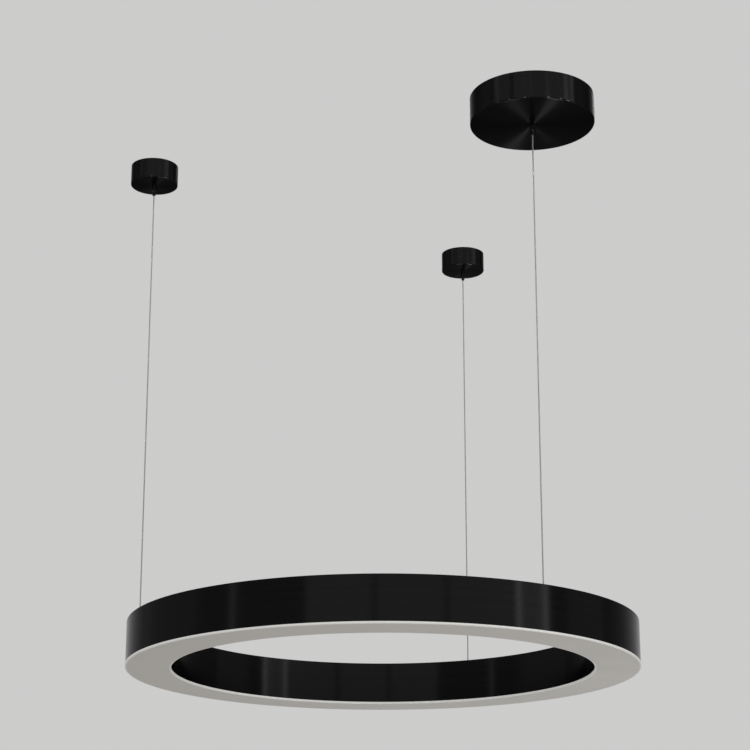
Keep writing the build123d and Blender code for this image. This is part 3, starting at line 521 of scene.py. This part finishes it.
ball_steel = mottled("polished ball steel", scale=3000, detail=2, Metallic=1.0,
                     colours=((0.58, 0.58, 0.59), (0.70, 0.70, 0.70)), roughness=(0.06, 0.14))
dress(ball_steel, *[f"jaw_balls_{place}" for place in places])

# ------------------------------------------------------------------ ring housing
# One aluminium channel, open downwards, rolled into a ring of 800 mm and black-lacquered. It hangs on its
# three anchors. The rolling leaves the walls very slightly uneven, which shows in the long reflections.
ring_axis = Vector((0, 0, 0))
ring_top = -0.765
ring_mouth = -0.832
ring_outer = 0.400
ring_inner = 0.330
housing_wall = 0.002
housing_top = 0.0025
housing_steps = 288
top_edge = 0.0012
mouth_edge = 0.0004
groove_level = ring_mouth + 0.006
groove = 0.0007
ring_roughness = (0.17, 0.23)
ring_relief = 0.000003
ring_edge_tint = (0.54, 0.54, 0.54, 1)
unevenness = 0.00014
ring_lacquer = turned_metal("black lacquer ring", ring_axis, lacquer_colours, ring_roughness, ring_relief,
                            round_scale=lacquer_round, across_scale=lacquer_across, Metallic=1.0,
                            Specular_Tint=ring_edge_tint, Anisotropic=0.92)
fine_relief = next(part for part in ring_lacquer.node_tree.nodes if part.type == "BUMP")
waves = noise(ring_lacquer, place_on(ring_lacquer), scale=11, detail=0)
rolled = node(ring_lacquer, "ShaderNodeBump", {"Height": waves, "Distance": unevenness}, "Normal")
ring_lacquer.node_tree.links.new(rolled, fine_relief.inputs["Normal"])

board_count = 6
near_azimuth = math.atan2(wire_axis["near"].y, wire_axis["near"].x)
board_azimuths = [near_azimuth + 2 * math.pi / board_count * (number + 0.5) for number in range(board_count)]
rivet_radii = (0.351, 0.379)


def on_ring(radius, azimuth, level=0.0):
    """Point at a radius and azimuth from the ring's axis."""
    return Vector((radius * math.cos(azimuth), radius * math.sin(azimuth), level))


def prism_faces(sides, first=0):
    """Faces of an upright prism, from the points round its foot and then round its top."""
    faces = [tuple(first + side for side in reversed(range(sides)))]
    faces.append(tuple(first + sides + side for side in range(sides)))
    for side in range(sides):
        after = (side + 1) % sides
        faces.append((first + side, first + after, first + sides + after, first + sides + side))
    return faces


def drills(holes, low, high, sides=32):
    """Upright cylinders to cut holes with. Each hole is its spot and its radius."""
    points = []
    faces = []
    for spot, radius in holes:
        faces += prism_faces(sides, len(points))
        for level in (low, high):
            for side in range(sides):
                turn = 2 * math.pi * side / sides
                points.append((spot.x + radius * math.cos(turn), spot.y + radius * math.sin(turn), level))
    return points, faces


anchor_hole = 0.00415
rivet_hole = 0.00165
drill_reach = 0.01
rivet_places = [on_ring(radius, azimuth, ring_top) for azimuth in board_azimuths for radius in rivet_radii]
holes = [(wire_axis[place], anchor_hole) for place in places]
holes += [(spot, rivet_hole) for spot in rivet_places]
cylinders = drills(holes, ring_top - drill_reach, ring_top + drill_reach)
hole_cutter = new_piece("hole_cutter", *cylinders, ring_lacquer)
outer_face = ring_outer - housing_wall
inner_face = ring_inner + housing_wall
channel = [(ring_outer, ring_mouth, mouth_edge), (ring_outer, ring_top, top_edge),
           (ring_inner, ring_top, top_edge), (ring_inner, ring_mouth, mouth_edge),
           (inner_face, ring_mouth), (inner_face, groove_level - groove),
           (inner_face - groove, groove_level), (inner_face, groove_level + groove),
           (inner_face, ring_top - housing_top), (outer_face, ring_top - housing_top),
           (outer_face, groove_level + groove), (outer_face + groove, groove_level),
           (outer_face, groove_level - groove), (outer_face, ring_mouth)]
housing = turned("channel_ring_housing", ring_axis, channel, housing_steps, ring_lacquer, hole_cutter)
bpy.data.objects.remove(hole_cutter)
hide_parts("ring_housing")
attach(housing, "ring")


# ------------------------------------------------------------------ rivets
# Twelve blind rivets hold the six brackets under the ring's top. Each has a low domed head, lacquered with
# the housing, with the broken pin in its middle.
def fixing_tree():
    """Copies of a piece on points, each turned to the ring's axis or by chance about its own upright axis."""
    tree = bpy.data.node_groups.new("fixings", "GeometryNodeTree")
    inputs = {}
    for label, kind in (("Places", "Geometry"), ("Piece", "Object"), ("Finish", "Material"),
                        ("Size", "Float"), ("Facing", "Float"), ("Largest turn", "Float"), ("Seed", "Int")):
        socket = tree.interface.new_socket(label, in_out="INPUT", socket_type=f"NodeSocket{kind}")
        inputs[label] = socket.identifier
    tree.interface.new_socket("Fixings", in_out="OUTPUT", socket_type="NodeSocketGeometry")
    given = tree.nodes.new("NodeGroupInput")
    piece = tree.nodes.new("GeometryNodeObjectInfo")
    turn = tree.nodes.new("FunctionNodeRandomValue")
    place = tree.nodes.new("GeometryNodeInputPosition")
    parts = tree.nodes.new("ShaderNodeSeparateXYZ")
    azimuth = tree.nodes.new("ShaderNodeMath")
    azimuth.operation = "ARCTAN2"
    total = tree.nodes.new("ShaderNodeMath")
    total.operation = "MULTIPLY_ADD"
    tilt = tree.nodes.new("ShaderNodeCombineXYZ")
    copies = tree.nodes.new("GeometryNodeInstanceOnPoints")
    real = tree.nodes.new("GeometryNodeRealizeInstances")
    coat = tree.nodes.new("GeometryNodeSetMaterial")
    result = tree.nodes.new("NodeGroupOutput")
    link = tree.links.new
    link(given.outputs["Piece"], piece.inputs["Object"])
    link(given.outputs["Largest turn"], turn.inputs[3])
    link(given.outputs["Seed"], turn.inputs["Seed"])
    link(place.outputs["Position"], parts.inputs["Vector"])
    link(parts.outputs["Y"], azimuth.inputs[0])
    link(parts.outputs["X"], azimuth.inputs[1])
    link(azimuth.outputs["Value"], total.inputs[0])
    link(given.outputs["Facing"], total.inputs[1])
    link(turn.outputs[1], total.inputs[2])
    link(total.outputs["Value"], tilt.inputs["Z"])
    link(given.outputs["Places"], copies.inputs["Points"])
    link(piece.outputs["Geometry"], copies.inputs["Instance"])
    link(tilt.outputs["Vector"], copies.inputs["Rotation"])
    link(given.outputs["Size"], copies.inputs["Scale"])
    link(copies.outputs["Instances"], real.inputs["Geometry"])
    link(real.outputs["Geometry"], coat.inputs["Geometry"])
    link(given.outputs["Finish"], coat.inputs["Material"])
    link(coat.outputs["Geometry"], result.inputs["Fixings"])
    return tree, inputs


fixings, fixing_inputs = fixing_tree()


def set_out(name, piece, spots, material, largest_turn=0.0, seed=0, facing=0.0, size=1.0):
    """Copies of a piece on some spots, as one plain mesh."""
    marks = new_piece(name, spots, [], material)
    maker = marks.modifiers.new("fixings", "NODES")
    maker.node_group = fixings
    given = {"Piece": piece, "Finish": material, "Size": size, "Facing": facing,
             "Largest turn": largest_turn, "Seed": seed}
    for label, value in given.items():
        maker[fixing_inputs[label]] = value
    graph = bpy.context.evaluated_depsgraph_get()
    marks.data = bpy.data.meshes.new_from_object(marks.evaluated_get(graph))
    marks.modifiers.clear()
    bpy.data.objects.remove(piece)
    return marks


rivet_steps = 40
rivet_seed = 3
rivet_tail = [(0, -0.0049), (0.0024, -0.0049, 0.0004), (0.0024, -0.0040)]
rivet_shank = [(0.0016, -0.0040), (0.0016, 0)]
rivet_head = [(0.0030, 0), (0.0029, 0.00028), (0.00245, 0.00058), (0.0018, 0.00079), (0.0011, 0.0009)]
broken_pin = [(0.00100, 0.0004), (0.00078, 0.0004), (0.00072, 0.00066), (0, 0.0007)]
rivet_section = rivet_tail + rivet_shank + rivet_head + broken_pin
rivet = turned("rivet", ring_axis, rivet_section, rivet_steps, ring_lacquer)
rivets = set_out("blind_rivets", rivet, rivet_places, ring_lacquer, largest_turn=2 * math.pi, seed=rivet_seed)
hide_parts("bracket_rivets")
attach(rivets, "ring")

# ------------------------------------------------------------------ LED carrier, boards and chips
# Inside the ring: a flat aluminium carrier on six brackets, and six white boards with a zigzag row of chips.
# The boards are screwed to the carrier and joined by plugs.
aluminium, aluminium_shader = principled("bare aluminium", Metallic=1.0)
rolling_marks = noise(aluminium, turning(aluminium, ring_axis, round_scale=6, across_scale=2200))
finish(aluminium, aluminium_shader, rolling_marks, ((0.55, 0.55, 0.56), (0.72, 0.72, 0.73)),
       roughness=(0.26, 0.42), height=0.00001)
dress(aluminium, "led_carrier", "carrier_brackets")

board_lacquer = mottled("white board lacquer", scale=180, detail=4, height=0.00001,
                        colours=((0.72, 0.72, 0.70), (0.80, 0.80, 0.78)), roughness=(0.28, 0.4))
dress(board_lacquer, *[f"led_board_{number + 1}" for number in range(board_count)])

# Each chip is a white moulded frame, 5 mm square, with yellow phosphor in its round window.
phosphor = mottled("led phosphor", scale=900, detail=3, height=0.00002,
                   colours=((0.72, 0.55, 0.12), (0.80, 0.66, 0.22)), roughness=(0.35, 0.5))
chip_mould = mottled("white chip frame", scale=1200, detail=3, height=0.00001,
                     colours=((0.70, 0.70, 0.69), (0.78, 0.78, 0.77)), roughness=(0.38, 0.5))
ring_middle = (ring_outer + ring_inner) / 2
chips_per_board = 20
chip_step = math.radians(2.94)
chip_stagger = 0.006
chip_seat = -0.802
chip_half = 0.0025
chip_height = 0.0014
chip_bevel = 0.0001
chip_sides = 16
window = 0.00205
window_taper = 0.0001
window_floor = 0.00012

# The phosphor's dome, in shares of the window's depth and of its radius.
phosphor_dome = ((0.5, 0.9), (0.4, 0.6))


def chip_shape(name, rings, material):
    """A closed piece of a chip, hung from its seat. Each ring is its level, reach and whether it's square."""
    points = []
    for level, reach, square in rings:
        for side in range(chip_sides):
            turn = 2 * math.pi * side / chip_sides
            stretch = 1 / max(abs(math.cos(turn)), abs(math.sin(turn))) if square else 1
            points.append((reach * stretch * math.cos(turn), reach * stretch * math.sin(turn), level))
    piece = new_piece(name, points, tube_faces(len(rings) - 1, chip_sides), material)
    settle(piece)
    return piece


frame_rings = [(0, chip_half, True), (chip_bevel - chip_height, chip_half, True),
               (-chip_height, chip_half - chip_bevel, True), (-chip_height, window, False),
               (window_floor - chip_height, window - window_taper, False)]
window_rings = frame_rings[-1:]
for depth, share in phosphor_dome:
    window_rings.append((depth * window_floor - chip_height, share * window, False))
chip_places = []
for board_azimuth in board_azimuths:
    for number in range(chips_per_board):
        azimuth = board_azimuth + (number - (chips_per_board - 1) / 2) * chip_step
        radius = ring_middle + (chip_stagger if number % 2 else -chip_stagger)
        chip_places.append(on_ring(radius, azimuth, chip_seat))
for name, rings, material, slot in (("chip_frames", frame_rings, chip_mould, "white_board"),
                                    ("chip_windows", window_rings, phosphor, "led_phosphor")):
    chips = set_out(name, chip_shape("chip", rings, material), chip_places, material, facing=1.0)
    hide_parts("led_chips")
    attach(chips, "ring")

# Red and black leads run from the near wire slantwise to the block on the carrier, and from there down to the
# plug on the first board.
inwards = -wire_axis["near"].normalized()
along = Vector((-wire_axis["near"].y, wire_axis["near"].x, 0)).normalized()
wire_reach = wire_axis["near"].length
block_inward = 0.018
block_along = 0.044
slant_along = 0.0179
slantwise = inwards - along * (block_inward / slant_along)
supply_colours = insulation("supply lead colours", red,
                            (black, [(slantwise, -wire_reach), (inwards, block_inward - wire_reach)]))
dress(supply_colours, "supply_leads")
dress(insulation("feed lead colours", red, (black, [(along, block_along)])), "feed_leads")

# ------------------------------------------------------------------ screws
# Zinc-plated M3 screws with low pan heads and a cross recess: twelve hold the carrier to its brackets,
# twenty-four hold the boards, and two hold the driver to the ceiling plate.
head_radius = 0.00275
head_foot = 0.00241
head_height = 0.0016
head_edge = 0.0005
shank = 0.0015
shank_bevel = 0.0002
screw_steps = 32
recess_span = 0.0015
recess_half = 0.0004
recess_depth = 0.0009
recess_narrowing = 0.7
plug_spare = 0.0001


def cross_plug():
    """A cross-shaped plug to cut a screw's recess with. It narrows upwards, into the head."""
    reaches = [(recess_span, -recess_half), (recess_span, recess_half), (recess_half, recess_half)]
    points = []
    for level, factor in ((-head_height - plug_spare, 1), (recess_depth - head_height, recess_narrowing)):
        for quarter in range(4):
            turn = math.pi / 2 * quarter
            for x, y in reaches:
                across = x * math.cos(turn) - y * math.sin(turn)
                up = x * math.sin(turn) + y * math.cos(turn)
                points.append((factor * across, factor * up, level))
    return new_piece("cross_plug", points, prism_faces(len(points) // 2), zinc)


bracket_seat = -0.801
carrier_radii = (0.339, 0.391)
board_radii = (0.3514, 0.3786)
board_turns = (math.radians(-26), math.radians(26))
driver_offsets = (Vector((-0.052, 0.028, -0.004)), Vector((0.052, 0.028, -0.004)))
carrier_spots = [on_ring(radius, azimuth, bracket_seat)
                 for azimuth in board_azimuths for radius in carrier_radii]
board_spots = [on_ring(radius, azimuth + turn, chip_seat)
               for azimuth in board_azimuths for turn in board_turns for radius in board_radii]
driver_spots = [wire_axis["near"] + offset for offset in driver_offsets]

# Each set's spots, how far its screws reach up, and the body it rides on.
screw_sets = {
    "carrier_screws": (carrier_spots, 0.0045, "ring"),
    "board_screws": (board_spots, 0.0040, "ring"),
    "driver_screws": (driver_spots, 0.0038, "ceiling_fittings"),
}
for seed, (name, (spots, reach, body)) in enumerate(screw_sets.items()):
    plug = cross_plug()
    screw_section = [(0, reach), (shank - shank_bevel, reach), (shank, reach - shank_bevel), (shank, 0),
                     (head_radius, 0), (head_foot, -head_height, head_edge), (0, -head_height)]
    screw = turned("screw", ring_axis, screw_section, screw_steps, zinc, plug)
    bpy.data.objects.remove(plug)
    screws = set_out(f"pan_{name}", screw, spots, zinc, largest_turn=2 * math.pi, seed=seed)
    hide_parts(name)
    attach(screws, body)

# ------------------------------------------------------------------ diffuser
# Opal acrylic tray that closes the ring from below. Two legs snap into the housing's grooves. It is unlit, so
# it looks warm grey. Near its polished edges its colour is painted lighter, a painted glow of the light that
# the edges catch.
overhang = 0.0006
# How far in from the edges the painted glow reaches, and the glow's painted colour.
painted_glow_reach = 0.004
painted_glow_colour = (0.54, 0.53, 0.51, 1)
opal, opal_shader = principled("opal acrylic", IOR=1.49)
opal_cloud = noise(opal, place_on(opal), scale=9, detail=5, roughness=0.6)
finish(opal, opal_shader, opal_cloud, ((0.318, 0.297, 0.270), (0.344, 0.323, 0.295)), roughness=(0.36, 0.48))
opal_plan = node(opal, "ShaderNodeVectorMath", {0: place_on(opal), 1: (1, 1, 0)}, operation="MULTIPLY")
opal_reach = node(opal, "ShaderNodeVectorMath", {0: opal_plan}, "Value", operation="LENGTH")
opal_half = (ring_outer - ring_inner) / 2 + overhang
off_middle = node(opal, "ShaderNodeMath", {0: opal_reach, 1: ring_middle}, operation="SUBTRACT")
off_middle = node(opal, "ShaderNodeMath", {0: off_middle}, operation="ABSOLUTE")
# Painted glow: the colour turns lighter towards the tray's inner and outer edges, in place of light that the
# edges catch.
painted_glow_mask = node(opal, "ShaderNodeMapRange", {"Value": off_middle, "From Min": opal_half - painted_glow_reach,
                                             "From Max": opal_half}, interpolation_type="SMOOTHERSTEP")
face_colour = opal_shader.inputs["Base Color"].links[0].from_socket
colour_with_painted_glow = node(opal, "ShaderNodeMix", {0: painted_glow_mask, 6: face_colour, 7: painted_glow_colour}, 2, data_type="RGBA")
opal.node_tree.links.new(colour_with_painted_glow, opal_shader.inputs["Base Color"])

face_edge = 0.0011
leg = 0.0018
leg_clearance = 0.0003
leg_outer = outer_face - leg_clearance
leg_inner = inner_face + leg_clearance
leg_top = ring_mouth + 0.010
face_bottom = ring_mouth - 0.0032
bead = 0.0005
tray = [(ring_inner - overhang, face_bottom, face_edge), (ring_outer + overhang, face_bottom, face_edge),
        (ring_outer + overhang, ring_mouth), (leg_outer, ring_mouth), (leg_outer, groove_level - bead),
        (leg_outer + bead, groove_level), (leg_outer, groove_level + bead), (leg_outer, leg_top),
        (leg_outer - leg, leg_top), (leg_outer - leg, ring_mouth), (leg_inner + leg, ring_mouth),
        (leg_inner + leg, leg_top), (leg_inner, leg_top), (leg_inner, groove_level + bead),
        (leg_inner - bead, groove_level), (leg_inner, groove_level - bead), (leg_inner, ring_mouth),
        (ring_inner - overhang, ring_mouth)]
diffuser = turned("tray_diffuser", ring_axis, tray, housing_steps, opal)
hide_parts("diffuser")
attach(diffuser, "ring")

# ------------------------------------------------------------------ room
# A plain pale floor and surround, and soft lamps round the object. Broad ones in front light its middle,
# narrow ones at the right and left draw the bright lines on its walls, and small ones low down draw those
# under its canopies.
surround_colour = (0.72, 0.72, 0.715, 1)
surround_strength = 1.0
seen_strength = 0.84
world = bpy.data.worlds.new("room")
bpy.context.scene.world = world
world.use_nodes = True
surround = world.node_tree.nodes["Background"]
surround.inputs["Color"].default_value = surround_colour
path = world.node_tree.nodes.new("ShaderNodeLightPath")
seen = path.outputs["Is Camera Ray"]
for ray in ("Is Glossy Ray", "Is Transmission Ray"):
    either = world.node_tree.nodes.new("ShaderNodeMath")
    either.operation = "MAXIMUM"
    world.node_tree.links.new(seen, either.inputs[0])
    world.node_tree.links.new(path.outputs[ray], either.inputs[1])
    seen = either.outputs[0]
strength = world.node_tree.nodes.new("ShaderNodeMapRange")
world.node_tree.links.new(seen, strength.inputs["Value"])
strength.inputs["To Min"].default_value = surround_strength
strength.inputs["To Max"].default_value = seen_strength
world.node_tree.links.new(strength.outputs["Result"], surround.inputs["Strength"])

# From below, the floor is looked through.
floor_level = -2.6
floor_reach = 40
floor_sides = 96
floor_edge = [on_ring(floor_reach, 2 * math.pi * side / floor_sides, floor_level)
              for side in range(floor_sides)]
floor_paint, floor_shader = principled("floor", Base_Color=(0.68, 0.68, 0.675, 1), Roughness=0.9)
underneath = node(floor_paint, "ShaderNodeNewGeometry", {}, "Backfacing")
clear = node(floor_paint, "ShaderNodeBsdfTransparent", {})
one_sided = node(floor_paint, "ShaderNodeMixShader", {0: underneath, 1: floor_shader.outputs[0], 2: clear})
floor_output = floor_paint.node_tree.nodes["Material Output"]
floor_paint.node_tree.links.new(one_sided, floor_output.inputs["Surface"])
floor = new_piece("floor", floor_edge, [tuple(range(floor_sides))], floor_paint)


def lamp(name, azimuth, distance, level, size, power, beam=180, aim_level=-0.4):
    """A soft rectangular lamp that points at the object, so many degrees to the right of the front."""
    light = bpy.data.lights.new(name, "AREA")
    light.shape = "RECTANGLE"
    light.size, light.size_y = size
    light.energy = power
    light.spread = math.radians(beam)
    made = bpy.data.objects.new(name, light)
    bpy.context.scene.collection.objects.link(made)
    turn = math.radians(azimuth)
    made.location = (distance * math.sin(turn), -distance * math.cos(turn), level)
    aim = Vector((0, 0, aim_level)) - made.location
    made.rotation_euler = aim.to_track_quat("-Z", "Y").to_euler()
    made.visible_camera = False
    return made


# Each lamp's azimuth, distance, level, width and height, and power.
lamps = {
    "key": (-60, 3.2, 3.2, (2.4, 2.4), 40),
    "back": (165, 3.4, 2.6, (2.6, 1.6), 30),
    "side_right": (97, 7, 2.2, (3.3, 8.0), 30),
    "side_left": (-107, 7, 2.2, (5.5, 8.0), 40),
    "front_1": (-19, 7, 2.2, (3.75, 8.0), 84),
    "front_2": (11, 7, 2.2, (3.75, 8.0), 84),
    "front_3": (41, 7, 2.2, (3.75, 8.0), 84),
    "right": (65.5, 7, 2.2, (1.6, 8.0), 50),
    "line_right_front": (58.5, 6.9, 1.4, (0.30, 6.0), 30),
    "line_right_back": (72.3, 6.9, 1.4, (0.30, 6.0), 32),
    "line_left": (-67, 6.9, 1.4, (0.30, 6.0), 10),
}
for name, settings in lamps.items():
    lamp(name, *settings)

# Each small lamp's azimuth, distance, level, power and beam. They show only in reflections.
small_size = (0.35, 0.35)
small_aim = 0.15
small_lamps = {
    "low_right": (149.6, 1.54, -2.5, 2.6, 50),
    "low_left": (181.2, 1.41, -2.5, 1.2, 50),
}
for number, azimuth in enumerate((-64, -41, -13, 27, 50, 66)):
    small_lamps[f"edge_{number + 1}"] = (azimuth, 4.5, -2.3, 0.65, 16)
for name, (azimuth, distance, level, power, beam) in small_lamps.items():
    small_lamp = lamp(name, azimuth, distance, level, small_size, power, beam, small_aim)
    small_lamp.visible_diffuse = False
